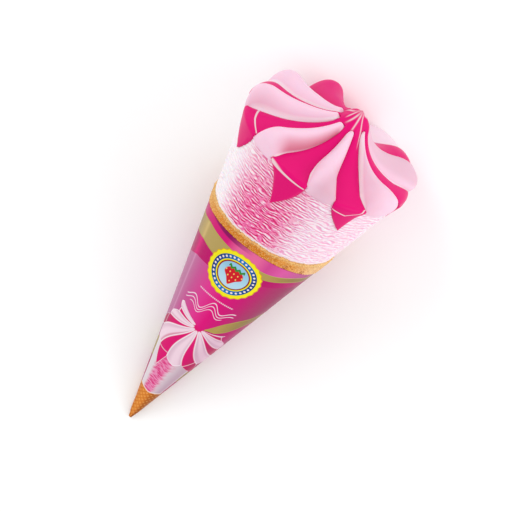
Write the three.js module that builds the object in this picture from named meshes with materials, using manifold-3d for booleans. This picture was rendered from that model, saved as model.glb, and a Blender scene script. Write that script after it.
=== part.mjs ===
// Strawberry ice cream cone in a printed paper sleeve, lying on its side as it is put down on a table.
//
// The cone is first built standing: the virtual apex of its taper at the origin, +Z along the axis, and azimuth 0,
// the printed front, on +X. The last group lays it down with the front up, so that the line of the sleeve at azimuth
// 180 rests on z = 0. There the soft ice cream has sagged onto the surface and made a small flat.
//
// paper_sleeve     the conical wrapper, with its glued lap and its blunt tip
// wafer_cone       the rolled wafer inside it, with the bare crumbly rim above the paper
// ice_cream        the churned ice cream that fills the wafer and rises above it on the same taper
// cream_rosette    the piped top: eight fat ribs that run from the peak to the shoulder
// strawberry_sauce the sauce over the peak and in the flutes between the ribs, with a drip below each flute
import * as THREE from "three";
import { mergeVertices } from "three/addons/utils/BufferGeometryUtils.js";
import Module from "manifold-3d";

const { degToRad, radToDeg, lerp, smoothstep } = THREE.MathUtils;
const wasm = await Module();
wasm.setup();

// Driving dimensions, in millimetres and degrees. Heights run along the axis from the virtual apex.
const SLOPE = 0.242; // radius gained for each millimetre of height, the same all the way up
const SIDES = 72; // facets round the sleeve and the wafer, with the middle of one at azimuth 180
const WALL_SIDES = 84; // and round the ice cream's wall
const GAP = 0.3; // clear space between neighbours

const SLEEVE_TIP = 3.4; // height of the blunt tip
const SLEEVE_NOSE = 8.6; // from here down the paper is twisted to a sharper point
const SLEEVE_WALL = 0.45;
const SLEEVE_EDGE = 96.4; // height of the sleeve's cut edge at the sides
const SLEEVE_SKEW = 3.8; // the edge sits this much higher at the front and lower behind
const SLEEVE_SKEW_AT = 20; // azimuth of its highest point
const SLEEVE_SOLID_TIP = 10; // the paper is solid up to here
const LAP_AT = 135; // azimuth of the glued lap's free edge
const LAP_WIDTH = 14; // degrees of azimuth that the lap covers
const LAP_STEP = 0.3;

const WAFER_TOP = 104.2; // height of the rim's top at the sides
const WAFER_SKEW = 2; // the top leans as the sleeve's edge does
const WAFER_WALL = 1.6;
const WAFER_COLLAR = 0.1; // the bare rim stands this much proud of the paper
const WAFER_RAGGED = 0.4; // unevenness of the rim's top edge
const WAFER_SOLID_TIP = 17.5; // the wafer is solid up to here

const SHOULDER = 139.2; // height of the edge between the ice cream's wall and its piped top
const INSET = 0.4; // the ice cream lies this far inside the sleeve's taper
const WALL_ROWS = 21;
const WAFER_TUCK = 0.7; // and draws in this much more where it meets the wafer's rim
const WAFER_TUCK_HEIGHT = 3.5; // over this height above the rim
const RELIEF = 0.8; // depth of the churned ripples
const RIPPLE_PITCH = 4.4;
const SAG_DEPTH = 0.9; // how far the resting side bulges before the surface flattens it
const SAG_WIDTH = 22; // degrees to each side of azimuth 180 that the bulge spreads

const PEAK_HEIGHT = 22; // height of the peak above the shoulder
const PEAK_DRIFT = 2.8; // the peak stands this far towards azimuth 90
const PEAK_FORWARD = 1; // and this far towards the front
const PEAK_EASE = 1.3; // how gradually the top leans over to it
const PEAK_SHARPNESS = 4; // how steeply the flutes rise to the peak
const PEAK_SHARE = 0.62; // share of the peak's height that the steep part makes; a low dome makes the rest
const EDGE_RADIUS = SLOPE * SHOULDER - INSET;
const CROWN_RADIUS = 27; // where the ribs stop being level and turn down
const CROWN_HEIGHT = 9; // height of the ribs there, above the shoulder
const CROWN_STEEPNESS = 2.2; // how the ribs rise from the crown to the peak
const RIB_END = 25; // degrees past its widest point at which a rib's round end meets the shoulder
const CROWN_SHARE = 0.6; // share of a rib's rows between the peak and the crown
const RIB_START = 3.6; // radius at which the ribs come out of the sauce
const RIB_RISE = 3.2; // and the distance over which they reach full size
const RIB_STEP = 0.5; // they start to rise this much further out
const RIB_ROUND = [2.2, 0.6]; // how broad a rib's back is, and how steep its sides are
const RIB_FLARE = 18; // radius from which the flutes widen
const RIB_SHARE = 0.67; // share of the pitch that a rib covers at mid radius
const RIB_END_SHARE = 0.5; // and at the shoulder
const HOLLOW_AT = 158; // azimuth of the side on which the top is hollowed beside the peak
const HOLLOW_WIDTH = 30; // degrees to each side that the hollow spreads
const HOLLOW_RADIUS = 11; // its deepest place
const HOLLOW_DEPTH = 4;
const HOLLOW_SHARPNESS = 3; // how quickly it ends inwards and outwards
const SWIRL = 10; // degrees that the ribs turn on their way from the shoulder to the peak

const PITCH = 45; // mean degrees from one flute to the next
const FLUTES = [-10, 37, 98, 132, 178, 222, 260, 301]; // azimuth of each flute between two ribs
const FLUTE_SIZE = [1.2, 1.4, 1.3, 1.1, 1, 0.6, 0.8, 1.2]; // its width against the others
const FLUTE_END = [1.2, 1, 0.84, 0.6, 1, 0.6, 0.8, 1.2]; // and at the shoulder
const FLUTE_BOW = [-3, -4, -16, -1, 0, 0, 0, 0]; // degrees that its middle bows round
const FLUTE_FILL = [0, 0, 0.4, 0.85, 0, 0, 0.4, 0]; // how far up the ribs beside it the sauce fills it
const RIB_SIZE = [0.97, 1.04, 0.88, 0.66, 1.15, 1.2, 1.16, 0.98]; // height of the rib after each flute
const REACH_SHARE = 1.15; // a rib stands out or back over all but the lowest part of its end
const RIB_REACH = [0, -0.2, 2.8, 2.2, -0.3, 0.3, 0.5, -0.3]; // how far its end stands out or back
const ARM_STEPS = 4; // columns across a flute
const RIB_STEPS = 8; // and across a rib

const SAUCE = 1.1; // thickness of the sauce along the middle of a flute, and over the peak
const SAUCE_EDGE = 0.5; // and at its sides
const BED_ROUND = 6; // how late the bed of a flute comes up to the shoulder under the sauce
const CAP_ROWS = 2; // rows of the top, from the peak, that the sauce covers all round
const CAP_EDGE = [2.4, 4.6]; // radii between which its full thickness there eases to that of the flutes
const SHOULDER_OUTWARD = 62; // at the shoulder it faces halfway between the top and the wall
const DRIP_LENGTH = [15.2, 12.1, 8.5, 6.5, 1.2, 6, 9.5, 12]; // below each flute, along the wall
const DRIP_LEAN = [2, 5, -4, 1, 0, -2, 3, 2]; // degrees that each drip's end has moved round
const DRIP_BEND = 2; // how late it does so
const DRIP_ROWS = 5;
const DRIP_TAPER = 1.3; // how its sides curve in
const DRIP_POINT = 0.7; // half width of its end, in degrees
const DRIP_THINNING = 0.3; // share of its thickness that it has lost there
const DRIP_THIN_LATE = 3; // how near its end it thins

const turn = (azimuth) => Math.cos(degToRad(azimuth));
const side = (azimuth) => Math.sin(degToRad(azimuth));
const point = (radius, azimuth, height) =>
  new THREE.Vector3(radius * turn(azimuth), radius * side(azimuth), height);

// Evenly spaced azimuths, with a facet's middle, and not its corner, at azimuth 180.
const evenAzimuths = (sides) => Array.from({ length: sides }, (_, i) => ((i + 0.5) * 360) / sides);
// A facet's middle is nearer the axis than its corners, so corners are moved out to keep the facet on the taper.
const CORNER = 1 / turn(180 / SIDES);
const taper = (height) => SLOPE * height * CORNER;

// A closed surface round the axis. Each outline lists points from the lower axis point, up the outside, to the upper
// axis point, and those two are the same in every outline.
function spun(outlines) {
  const sides = outlines.length;
  const rings = outlines[0].length - 2;
  const points = [outlines[0][0]];
  for (const outline of outlines) points.push(...outline.slice(1, -1));
  points.push(outlines[0].at(-1));
  const last = points.length - 1;
  const vertex = (i, ring) => 1 + (i % sides) * rings + ring;
  const index = [];
  for (let i = 0; i < sides; i++) {
    index.push(0, vertex(i + 1, 0), vertex(i, 0));
    for (let ring = 0; ring < rings - 1; ring++) {
      const [a, b] = [vertex(i, ring), vertex(i + 1, ring)];
      const [c, d] = [vertex(i + 1, ring + 1), vertex(i, ring + 1)];
      index.push(a, b, c, a, c, d);
    }
    index.push(last, vertex(i, rings - 1), vertex(i + 1, rings - 1));
  }
  const geometry = new THREE.BufferGeometry().setFromPoints(points);
  geometry.setIndex(index);
  geometry.computeVertexNormals();
  return geometry;
}

function solid(geometry) {
  const bare = geometry.clone();
  bare.deleteAttribute("normal");
  bare.deleteAttribute("uv");
  const merged = mergeVertices(bare, 1e-5);
  return new wasm.Manifold(
    new wasm.Mesh({
      numProp: 3,
      vertProperties: new Float32Array(merged.attributes.position.array),
      triVerts: new Uint32Array(merged.index.array),
    }),
  );
}

function geometryOf(manifold) {
  const mesh = manifold.getMesh();
  const positions = new Float32Array(mesh.numVert * 3);
  for (let i = 0; i < mesh.numVert; i++)
    positions.set(mesh.vertProperties.subarray(i * mesh.numProp, i * mesh.numProp + 3), i * 3);
  const geometry = new THREE.BufferGeometry();
  geometry.setAttribute("position", new THREE.BufferAttribute(positions, 3));
  geometry.setIndex(new THREE.BufferAttribute(mesh.triVerts, 1));
  geometry.computeVertexNormals();
  return geometry;
}

// Smooth unevenness from -1 to 1 that closes on itself round the axis.
const uneven = (azimuth, seed) =>
  (side(5 * azimuth + 70 * seed) + side(11 * azimuth + 130 * seed) + side(17 * azimuth + 31 * seed)) / 3;

// The paper sleeve ------------------------------------------------------------------------------------------------

const sleeveEdge = (azimuth) => SLEEVE_EDGE + SLEEVE_SKEW * turn(azimuth - SLEEVE_SKEW_AT);

// The outer layer stands a step proud at the lap's free edge, and eases down where the layer under it ends.
function lapRise(azimuth) {
  const under = LAP_AT - azimuth;
  return under < 0 || under > 2 * LAP_WIDTH ? 0 : LAP_STEP * (1 - smoothstep(under, LAP_WIDTH, 2 * LAP_WIDTH));
}

function sleeveOutline(azimuth) {
  const rise = lapRise(azimuth);
  const edge = sleeveEdge(azimuth);
  const outer = (height) => point(taper(height) + rise, azimuth, height);
  const inner = (height) => point(taper(height) - SLEEVE_WALL, azimuth, height);
  const nose = (height, share) => point(taper(height) * share, azimuth, height);
  return [
    point(0, 0, SLEEVE_TIP),
    nose(SLEEVE_TIP + 0.15, 0.5),
    nose(SLEEVE_TIP + 2, 0.86),
    nose(SLEEVE_NOSE, 1),
    outer(SLEEVE_NOSE + 6),
    outer(edge * 0.6),
    outer(edge),
    inner(edge),
    inner(SLEEVE_SOLID_TIP),
    point(0, 0, SLEEVE_SOLID_TIP - 0.3),
  ];
}

function paperSleeve() {
  const lapEdge = [LAP_AT, LAP_AT + 0.4];
  return spun([...evenAzimuths(SIDES), ...lapEdge].sort((a, b) => a - b).map(sleeveOutline));
}

// The wafer cone --------------------------------------------------------------------------------------------------

const waferTop = (azimuth) =>
  WAFER_TOP + WAFER_SKEW * turn(azimuth - SLEEVE_SKEW_AT) + WAFER_RAGGED * uneven(azimuth, 1);
const WAFER_OUTSIDE = SLEEVE_WALL + GAP; // how far the wafer's outside lies under the taper inside the sleeve
const WAFER_INSIDE = WAFER_OUTSIDE + WAFER_WALL;

function waferOutline(azimuth) {
  const edge = sleeveEdge(azimuth) + GAP;
  const top = waferTop(azimuth);
  const within = (height) => point(taper(height) - WAFER_OUTSIDE, azimuth, height);
  const hollow = (height) => point(taper(height) - WAFER_INSIDE, azimuth, height);
  const bare = (share, seed) => {
    const height = lerp(edge, top, share);
    const grain = WAFER_COLLAR * (0.5 + uneven(azimuth * 2, seed)) * (1 - smoothstep(-turn(azimuth), 0.97, 1));
    return point(taper(height) + grain, azimuth, height);
  };
  const rounded = (inwards, down) => point(taper(top) - inwards, azimuth, top - down);
  return [
    point(0, 0, SLEEVE_SOLID_TIP + 0.8),
    within(SLEEVE_SOLID_TIP + 1.2),
    within(edge - 2),
    within(edge),
    bare(0, 2),
    bare(0.5, 3),
    rounded(0.25, 0.6),
    rounded(0.6, 0),
    rounded(WAFER_INSIDE - 0.4, 0),
    hollow(top - 0.4),
    hollow(WAFER_SOLID_TIP + 0.5),
    point(0, 0, WAFER_SOLID_TIP),
  ];
}

const waferCone = () => spun(evenAzimuths(SIDES).map(waferOutline));

// The ice cream ---------------------------------------------------------------------------------------------------

function sag(azimuth) {
  const away = (azimuth - 180) / SAG_WIDTH;
  return SAG_DEPTH * Math.exp(-away * away);
}

const wallRadius = (azimuth, height) => SLOPE * height - INSET + sag(azimuth);

// Long shallow ripples that run round the wall, as churned ice cream has, from 0 to 1.
function ripple(azimuth, height) {
  const wander = 1.7 * side(3 * azimuth + 40) + 1.1 * side(8 * azimuth + 3 * height) + 0.6 * side(13 * azimuth);
  const wave = Math.sin((2 * Math.PI * height) / RIPPLE_PITCH + wander);
  return 0.5 + 0.5 * wave * (0.75 + 0.25 * side(6 * azimuth + 9 * height));
}

function iceCreamOutline(azimuth) {
  const within = (height) => point(taper(height) - WAFER_INSIDE - GAP, azimuth, height);
  const foot = waferTop(azimuth) + GAP;
  const top = SHOULDER - GAP;
  const wall = Array.from({ length: WALL_ROWS + 1 }, (_, i) => {
    const height = lerp(foot + 0.9, top, i / WALL_ROWS);
    const ends = smoothstep(height, foot, foot + 3) * (1 - smoothstep(height, top - 1.6, top));
    const depth = RELIEF * ends * (1 - sag(azimuth) / SAG_DEPTH) * ripple(azimuth, height);
    const tuck = WAFER_TUCK * (1 - smoothstep(height, foot, foot + WAFER_TUCK_HEIGHT));
    return point(wallRadius(azimuth, height) - tuck - depth, azimuth, height);
  });
  return [
    point(0, 0, WAFER_SOLID_TIP + 1.5),
    within(WAFER_SOLID_TIP + 2),
    within(foot),
    point(taper(foot) - 1.3, azimuth, foot),
    ...wall,
    point(0, 0, SHOULDER - GAP),
  ];
}

const iceCream = () => spun(evenAzimuths(WALL_SIDES).map(iceCreamOutline));

// The piped top ---------------------------------------------------------------------------------------------------

// A point of the top from its radius and its height above the shoulder. The peak has drifted to one side, and the
// ribs swirl on their way to it.
function topPoint(radius, azimuth, height) {
  const inwards = Math.max(0, 1 - radius / EDGE_RADIUS);
  const placed = point(radius, azimuth + SWIRL * inwards, SHOULDER + height);
  const drift = inwards ** PEAK_EASE;
  placed.x += PEAK_FORWARD * drift;
  placed.y += PEAK_DRIFT * drift;
  return placed;
}

// Height of the sauce's surface along a flute: a steep peak on a low dome.
function fluteHeight(radius) {
  const x = Math.min(1, radius / EDGE_RADIUS);
  return PEAK_HEIGHT * lerp(1 - x * x, (1 - x) ** PEAK_SHARPNESS, PEAK_SHARE);
}

// The bed of a flute at row position u, 0 at the peak and 1 at the shoulder. The sauce lies on it.
function bed(u) {
  const radius =
    u < CROWN_SHARE
      ? (CROWN_RADIUS * u) / CROWN_SHARE
      : lerp(CROWN_RADIUS, EDGE_RADIUS, (u - CROWN_SHARE) / (1 - CROWN_SHARE));
  const depth = SAUCE * (1 - (radius / EDGE_RADIUS) ** BED_ROUND);
  return { radius, height: fluteHeight(radius) - depth };
}

// The line along the top of a rib: down from the peak to the crown, then round an elliptic end to the shoulder.
function crest(u, size, reach) {
  if (u < CROWN_SHARE) {
    const radius = (CROWN_RADIUS * u) / CROWN_SHARE;
    const rise = (PEAK_HEIGHT - CROWN_HEIGHT) * (1 - radius / CROWN_RADIUS) ** CROWN_STEEPNESS;
    return { radius, height: CROWN_HEIGHT * size + rise };
  }
  const share = (u - CROWN_SHARE) / (1 - CROWN_SHARE);
  const angle = lerp(90, -RIB_END, share);
  const across = (EDGE_RADIUS - CROWN_RADIUS) / turn(RIB_END);
  const upright = (CROWN_HEIGHT * size) / (1 + side(RIB_END));
  const stretch = reach * side(180 * Math.min(1, share * REACH_SHARE));
  return {
    radius: CROWN_RADIUS + across * turn(angle) + stretch,
    height: upright * (side(angle) + side(RIB_END)),
  };
}

// Degrees from one flute to the next.
const gapAfter = (k) => (FLUTES[(k + 1) % FLUTES.length] - FLUTES[k] + 360) % 360;

// Degrees from a flute's middle to its side at a radius. gap is the one to the flute on that side: the flutes fill
// it as far out as the ribs' start, and leave room for the ribs beyond.
function fluteSide(k, gap, radius) {
  const out = Math.min(1, Math.max(0, (radius - RIB_START) / RIB_RISE));
  const ribs = Math.sqrt(1 - (1 - out) ** 2);
  const flare = smoothstep(radius, RIB_FLARE, EDGE_RADIUS);
  const open = (PITCH / 2) * lerp(FLUTE_SIZE[k] * (1 - RIB_SHARE), FLUTE_END[k] * (1 - RIB_END_SHARE), flare);
  return lerp(gap / 2, open, ribs);
}

// The columns of the top: across each flute and then across the rib after it. across runs from -1 to 1 over a flute,
// and along from 0 to 1 over a rib.
const topColumns = FLUTES.flatMap((_, k) => [
  ...Array.from({ length: ARM_STEPS }, (_, i) => ({ k, across: lerp(-1, 1, i / ARM_STEPS) })),
  ...Array.from({ length: RIB_STEPS }, (_, i) => ({ k, along: i / RIB_STEPS })),
]);

// sideOf gives the degrees from a flute's middle to its side.
function columnAzimuth({ k, across, along }, sideOf) {
  const before = (k + FLUTES.length - 1) % FLUTES.length;
  const after = (k + 1) % FLUTES.length;
  const gap = gapAfter(k);
  if (across !== undefined) return FLUTES[k] + across * sideOf(k, across < 0 ? gapAfter(before) : gap);
  return FLUTES[k] + lerp(sideOf(k, gap), gap - sideOf(after, gap), along);
}

// How far round the flutes bow at a row, between the peak and the shoulder.
function bow({ k, along = 0 }, u) {
  const degrees = lerp(FLUTE_BOW[k], FLUTE_BOW[(k + 1) % FLUTES.length], along);
  return degrees * side(180 * u) ** 2;
}

// How far the surface has risen from the bed to the rib's crest, across the rib's width.
function rise({ k, along }) {
  if (along === undefined) return FLUTE_FILL[k];
  const foot = lerp(FLUTE_FILL[k], FLUTE_FILL[(k + 1) % FLUTES.length], along);
  return lerp(foot, 1, (1 - Math.abs(2 * along - 1) ** RIB_ROUND[0]) ** RIB_ROUND[1]);
}

// Positions of the grid's rows from the peak to the shoulder, closest together where the ribs begin.
const TOP_ROWS = [0.04, 0.07, 0.09, 0.13, 0.17, 0.24, 0.34, 0.45, 0.54, 0.62, 0.7, 0.78, 0.86, 0.93, 1];

// How far the top lies lower beside the peak.
function hollow({ k, along = 0 }, radius) {
  const away = ((FLUTES[k] + along * gapAfter(k) - HOLLOW_AT + 540) % 360) - 180;
  const x = radius / HOLLOW_RADIUS;
  const round = Math.exp(-((away / HOLLOW_WIDTH) ** 2));
  return HOLLOW_DEPTH * round * (x * Math.exp(1 - x)) ** HOLLOW_SHARPNESS;
}

// The top's surface at a column and a row. clear is how many degrees the flutes are drawn in at their sides.
function topSurface(column, u, clear = 0) {
  const floor = bed(u);
  const out = smoothstep(floor.radius, RIB_START + RIB_STEP, RIB_START + RIB_RISE);
  const rib = crest(u, RIB_SIZE[column.k], RIB_REACH[column.k]);
  const share = rise(column) * out;
  const azimuth = columnAzimuth(column, (k, gap) => fluteSide(k, gap, floor.radius) - clear) + bow(column, u);
  const height = lerp(floor.height, rib.height, share) - hollow(column, floor.radius);
  return { azimuth, radius: lerp(floor.radius, rib.radius, share), height };
}

const peak = (height) => topPoint(0, 0, height);

function rosetteOutline(column) {
  const rows = TOP_ROWS.map((u) => topSurface(column, u)).reverse();
  return [
    new THREE.Vector3(0, 0, SHOULDER),
    ...rows.map(({ azimuth, radius, height }) => topPoint(radius, azimuth, height)),
    peak(PEAK_HEIGHT - SAUCE),
  ];
}

const creamRosette = () => spun(topColumns.map(rosetteOutline));

// The sauce -------------------------------------------------------------------------------------------------------

// A closed skin over part of a grid that closes round the axis. outer and inner are its two faces, each a list of
// rows from the peak outwards, and filled says which cells hold the skin. Row -1 is the fan round the peak.
function skin(outer, inner, peakOuter, peakInner, filled) {
  const [rows, sides] = [outer.length, outer[0].length];
  const points = [peakOuter, peakInner, ...outer.flat(), ...inner.flat()];
  const vertex = (row, column, face) =>
    row < 0 ? face : 2 + face * rows * sides + row * sides + ((column + sides) % sides);
  const index = [];
  const quad = (a, b, c, d) => index.push(a, b, c, a, c, d);
  const wall = ([rowA, columnA], [rowB, columnB]) =>
    quad(
      vertex(rowB, columnB, 0),
      vertex(rowA, columnA, 0),
      vertex(rowA, columnA, 1),
      vertex(rowB, columnB, 1),
    );
  for (let row = -1; row < rows - 1; row++)
    for (let column = 0; column < sides; column++) {
      if (!filled(row, column)) continue;
      const corners = [[row, column], [row + 1, column], [row + 1, column + 1], [row, column + 1]];
      quad(...corners.map(([r, c]) => vertex(r, c, 0)));
      quad(...corners.map(([r, c]) => vertex(r, c, 1)).reverse());
      const [a, b, c, d] = corners;
      if (!filled(row, column - 1)) wall(a, b);
      if (!filled(row + 1, column)) wall(b, c);
      if (!filled(row, column + 1)) wall(c, d);
      if (!filled(row - 1, column)) wall(d, a);
    }
  const geometry = new THREE.BufferGeometry().setFromPoints(points);
  geometry.setIndex(index);
  return geometry;
}

const SLOPE_STEP = 0.02; // the rows between which a flute's slope is taken

// The way out of a flute's surface on the top, in degrees from straight up, and out of the wall.
function outward({ k }, u) {
  const middle = { k, across: 0 };
  const [above, below] = [topSurface(middle, u - SLOPE_STEP), topSurface(middle, u + SLOPE_STEP)];
  return radToDeg(Math.atan2(above.height - below.height, below.radius - above.radius));
}
const WALL_OUTWARD = 90 + radToDeg(Math.atan(SLOPE));

// Thick along the middle of a flute and thin at its sides.
const sauceDepth = ({ across = 1 }) => SAUCE_EDGE + (SAUCE - SAUCE_EDGE) * Math.sqrt(1 - across * across);

// The foot of the sauce at a column and a row of the top, the way out there, and how thick it is.
function sauceOnTop(column, u) {
  const { radius } = bed(u);
  const clear = radToDeg(GAP / Math.max(radius, RIB_START));
  const spot = topSurface(column, u, clear);
  const capped = 1 - smoothstep(radius, ...CAP_EDGE);
  return {
    foot: topPoint(spot.radius, spot.azimuth, spot.height),
    azimuth: spot.azimuth,
    way: u < 1 ? outward(column, Math.min(u, 0.97)) : SHOULDER_OUTWARD,
    depth: lerp(sauceDepth(column), SAUCE, capped),
  };
}

// The same down the wall, where each drip narrows to its end: down is 0 at the shoulder and 1 there.
function sauceOnWall(column, down) {
  const narrowed = (k, gap) => Math.max(DRIP_POINT, fluteSide(k, gap, EDGE_RADIUS) * (1 - down ** DRIP_TAPER));
  const azimuth = columnAzimuth(column, narrowed) + DRIP_LEAN[column.k] * down ** DRIP_BEND;
  const height = SHOULDER - down * DRIP_LENGTH[column.k];
  return {
    foot: point(wallRadius(azimuth, height), azimuth, height),
    azimuth,
    way: WALL_OUTWARD,
    depth: sauceDepth(column) * (1 - DRIP_THINNING * down ** DRIP_THIN_LATE),
  };
}

function strawberrySauce() {
  const downs = Array.from({ length: DRIP_ROWS }, (_, i) => (i + 1) / DRIP_ROWS);
  const rows = [
    ...TOP_ROWS.map((u) => topColumns.map((column) => sauceOnTop(column, u))),
    ...downs.map((down) => topColumns.map((column) => sauceOnWall(column, down))),
  ];
  const face = (raised) =>
    rows.map((row) =>
      row.map(({ foot, azimuth, way, depth }) => {
        const off = GAP + raised * depth;
        return foot.clone().add(point(off * side(way), azimuth, off * turn(way)));
      }),
    );
  const top = PEAK_HEIGHT - SAUCE;
  const inFlute = (column) => topColumns[(column + topColumns.length) % topColumns.length].across !== undefined;
  const filled = (row, column) => row < rows.length - 1 && (row < CAP_ROWS || inFlute(column));
  return skin(face(1), face(0), peak(top + GAP + SAUCE), peak(top + GAP), filled);
}

// The parts, laid down --------------------------------------------------------------------------------------------

const tilt = Math.atan(SLOPE);
const cone = new THREE.Group();
cone.rotation.set(Math.PI, -(Math.PI / 2 + tilt), 0, "YXZ");
cone.updateMatrix();

// Everything below the surface that the cone lies on, in the standing cone's frame.
function belowSurface() {
  const block = new THREE.BoxGeometry(400, 200, 40).translate(100, 0, -20);
  return solid(block.applyMatrix4(cone.matrix.clone().invert()));
}

const material = (color, roughness) => new THREE.MeshStandardMaterial({ color, roughness, metalness: 0 });

function addPart(name, geometry, look) {
  const mesh = new THREE.Mesh(geometry, look);
  mesh.name = name;
  cone.add(mesh);
}

const surface = belowSurface();
const onSurface = (geometry) => geometryOf(solid(geometry).subtract(surface));

addPart("paper_sleeve", paperSleeve(), material(0xc8127a, 0.35));
addPart("wafer_cone", waferCone(), material(0xdb9a52, 0.8));
addPart("ice_cream", onSurface(iceCream()), material(0xf7d3e2, 0.55));
addPart("cream_rosette", onSurface(creamRosette()), material(0xf7cfe2, 0.45));
addPart("strawberry_sauce", onSurface(strawberrySauce()), material(0xe61a79, 0.2));

const part = new THREE.Group();
part.add(cone);
part.updateMatrixWorld(true);
const box = new THREE.Box3().setFromObject(part, true);
cone.position.set(-(box.min.x + box.max.x) / 2, -(box.min.y + box.max.y) / 2, 0);

export default part;
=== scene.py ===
"""Looks of a strawberry ice cream cone that lies on its side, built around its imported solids.

The solids come in as a fixed frame, and every piece here is made in that frame. Shapes are worked out in
the cone's own coordinates: x towards the printed front, y towards azimuth 90 and z along the axis, from the
virtual apex of the taper, in millimetres and degrees. Each piece is then laid down onto the frame in metres.
"""
import functools
import math

import bpy
import numpy as np
from mathutils import Matrix, Vector


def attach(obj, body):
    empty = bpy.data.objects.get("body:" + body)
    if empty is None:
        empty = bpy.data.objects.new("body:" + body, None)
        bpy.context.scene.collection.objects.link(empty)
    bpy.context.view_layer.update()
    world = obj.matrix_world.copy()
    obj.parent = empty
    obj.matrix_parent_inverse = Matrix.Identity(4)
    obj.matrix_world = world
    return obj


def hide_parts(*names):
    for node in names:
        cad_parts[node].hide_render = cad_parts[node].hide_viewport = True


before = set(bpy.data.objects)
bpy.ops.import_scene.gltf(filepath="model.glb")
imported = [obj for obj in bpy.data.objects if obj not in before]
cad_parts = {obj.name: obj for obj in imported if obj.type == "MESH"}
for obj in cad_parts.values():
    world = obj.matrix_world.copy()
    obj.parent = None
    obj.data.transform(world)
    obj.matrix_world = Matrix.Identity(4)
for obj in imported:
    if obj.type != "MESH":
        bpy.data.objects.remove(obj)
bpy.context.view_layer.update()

MM = 0.001
TAU = 2 * math.pi
DEGREE = TAU / 360  # in radians

# The cone -----------------------------------------------------------------------------------------
SLOPE = 0.242  # radius gained for each millimetre of height
SLEEVE_TIP, SLEEVE_NOSE, SLEEVE_SOLID_TIP = 3.4, 8.6, 10
SLEEVE_WALL = 0.45
SLEEVE_EDGE, SLEEVE_SKEW, SLEEVE_SKEW_AT = 97, 3.6, 8
PLEAT_DEPTH, DENT_DEPTH = 0.16, 0.05
LAP_AT, LAP_WIDTH, LAP_STEP = 135, 14, 0.3

WAFER_TOP, WAFER_SKEW, WAFER_SKEW_AT = 104.2, 1.3, 75
WAFER_WALL, WAFER_RAGGED = 1.6, 0.3
WAFER_OUTSIDE = SLEEVE_WALL + 0.3
WAFER_INSIDE = WAFER_OUTSIDE + WAFER_WALL
WAFER_SOLID_TIP = 17.5
RIM_ROUND = 0.6

SHOULDER = 139.2
INSET = 0.4  # how far the ice cream stands in from the sleeve's taper
SAG_DEPTH, SAG_WIDTH = 0.9, 22  # the ice cream's sag towards the surface below, and its width in degrees
FURROW_FLOOR, FURROW_DEPTH = 0.2, 0.3

# The print, by height along the axis, or by distance from the apex on the sleeve laid flat
SEAL_AT, SEAL_RADIUS = 88.8, 10.8
WAVES_AT, DOTS_AT = 66.5, 72.6
FAN_HUB, FAN_REACH, FAN_PITCH = 58.6, 22.3, 34  # the pitch of its stripes is in degrees
WAFFLE_TOP, WAFFLE_CELL = 18.4, 1.9

# The piped top ------------------------------------------------------------------------------------
PEAK_HEIGHT, PEAK_DRIFT, PEAK_FORWARD = 22, 2.8, 1
PEAK_SHARPNESS, PEAK_SHARE, PEAK_EASE = 4, 0.62, 1.3
# Hollows beside the peak: azimuth, width in degrees, radius of the deepest place, depth. Below 0 is a swell.
HOLLOWS = [(158, 26, 11, 4), (105, 42, 4.5, -2.6), (207, 30, 3.2, -2), (160, 16, 16, 1.5)]
EDGE_RADIUS = SLOPE * SHOULDER - INSET
CROWN_RADIUS, CROWN_HEIGHT, CROWN_STEEPNESS, CROWN_SHARE = 27, 9, 2.2, 0.6
RIB_END = 25  # degrees below level at which a rib's outer end stops
RIB_START, RIB_RISE, RIB_STEP, RIB_FLARE = 3.6, 3.2, 0.5, 18
RIB_SHARE, RIB_END_SHARE = 0.67, 0.5
RIB_ROUND = (2.2, 0.6)
RIB_LEAST = 0.15  # least share of their width that the ribs keep at the peak
RIB_LAP, RIB_PROUD = 1.7, 0.25  # how far a rib's end hangs over the wall, and how far it stands off it
FLUTE_CELLS, RIB_CELLS = 8, 40  # mesh columns across each flute and each rib
SWIRL = 10
PITCH = 45
FLUTES = np.array([-10, 37, 94, 132, 178, 222, 260, 301])  # azimuths
FLUTE_COUNT = len(FLUTES)
FLUTE_SIZE = np.array([1.2, 1.75, 1.35, 1.25, 1, 0.6, 0.8, 1.2])
FLUTE_END = np.array([1.2, 1, 0.84, 0.6, 1, 0.6, 0.8, 1.2])
FLUTE_BOW = np.array([-3, -5, -16, -1, 0, 0, 0, 0])  # degrees that a flute bows round at mid radius
FLUTE_BEND = np.array([0, 0, -22, -10, 0, 0, 0, 0])  # and nearer the peak
FLUTE_FILL = np.array([0, 0, 0.45, 0.88, 0, 0, 0.4, 0])
RIB_SIZE = np.array([0.97, 1.04, 0.88, 0.72, 1.25, 1.2, 1.16, 0.98])
RIB_REACH = np.array([0, -0.2, 2.8, 2.2, -0.3, 0.3, 0.5, -0.3])
COATED_RIB = 4  # the rib that the sauce covers whole
SAUCE, SAUCE_EDGE, SAUCE_SKIRT = 1.1, 0.45, 0.9  # depth in a flute, at its sides, and below the surface
SAUCE_SPREAD, CORNER_SPREAD = 0.5, 0.6  # degrees that it runs in under the ribs, and more at the shoulder
SAUCE_ROWS = 12  # rows round the peak that the sauce covers whole
DRIP_LENGTH = np.array([15, 11.6, 8.5, 6.5, 1.2, 6, 9.5, 11.6])
DRIP_AT = np.array([-9, 42, 93, 133, 178, 220, 263, 302.6])  # azimuth of each drip's point
# How each drip's two sides curve towards its point: straight at 1
DRIP_CURVE = [(0.6, 2), (1.7, 0.5), (1, 1.5), (1, 1), (1, 1), (1, 1), (1.5, 1), (1.6, 1.7)]

# Painted highlight lines that run out from the peak: azimuth at the peak, azimuth at the end, radius of the
# end
PEAK_LINES = [(-120, -150, 8), (-20, -38, 4.4), (13, -1, 9), (56, 38, 10), (103, 110, 5), (-75, -62, 3.6)]
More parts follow.
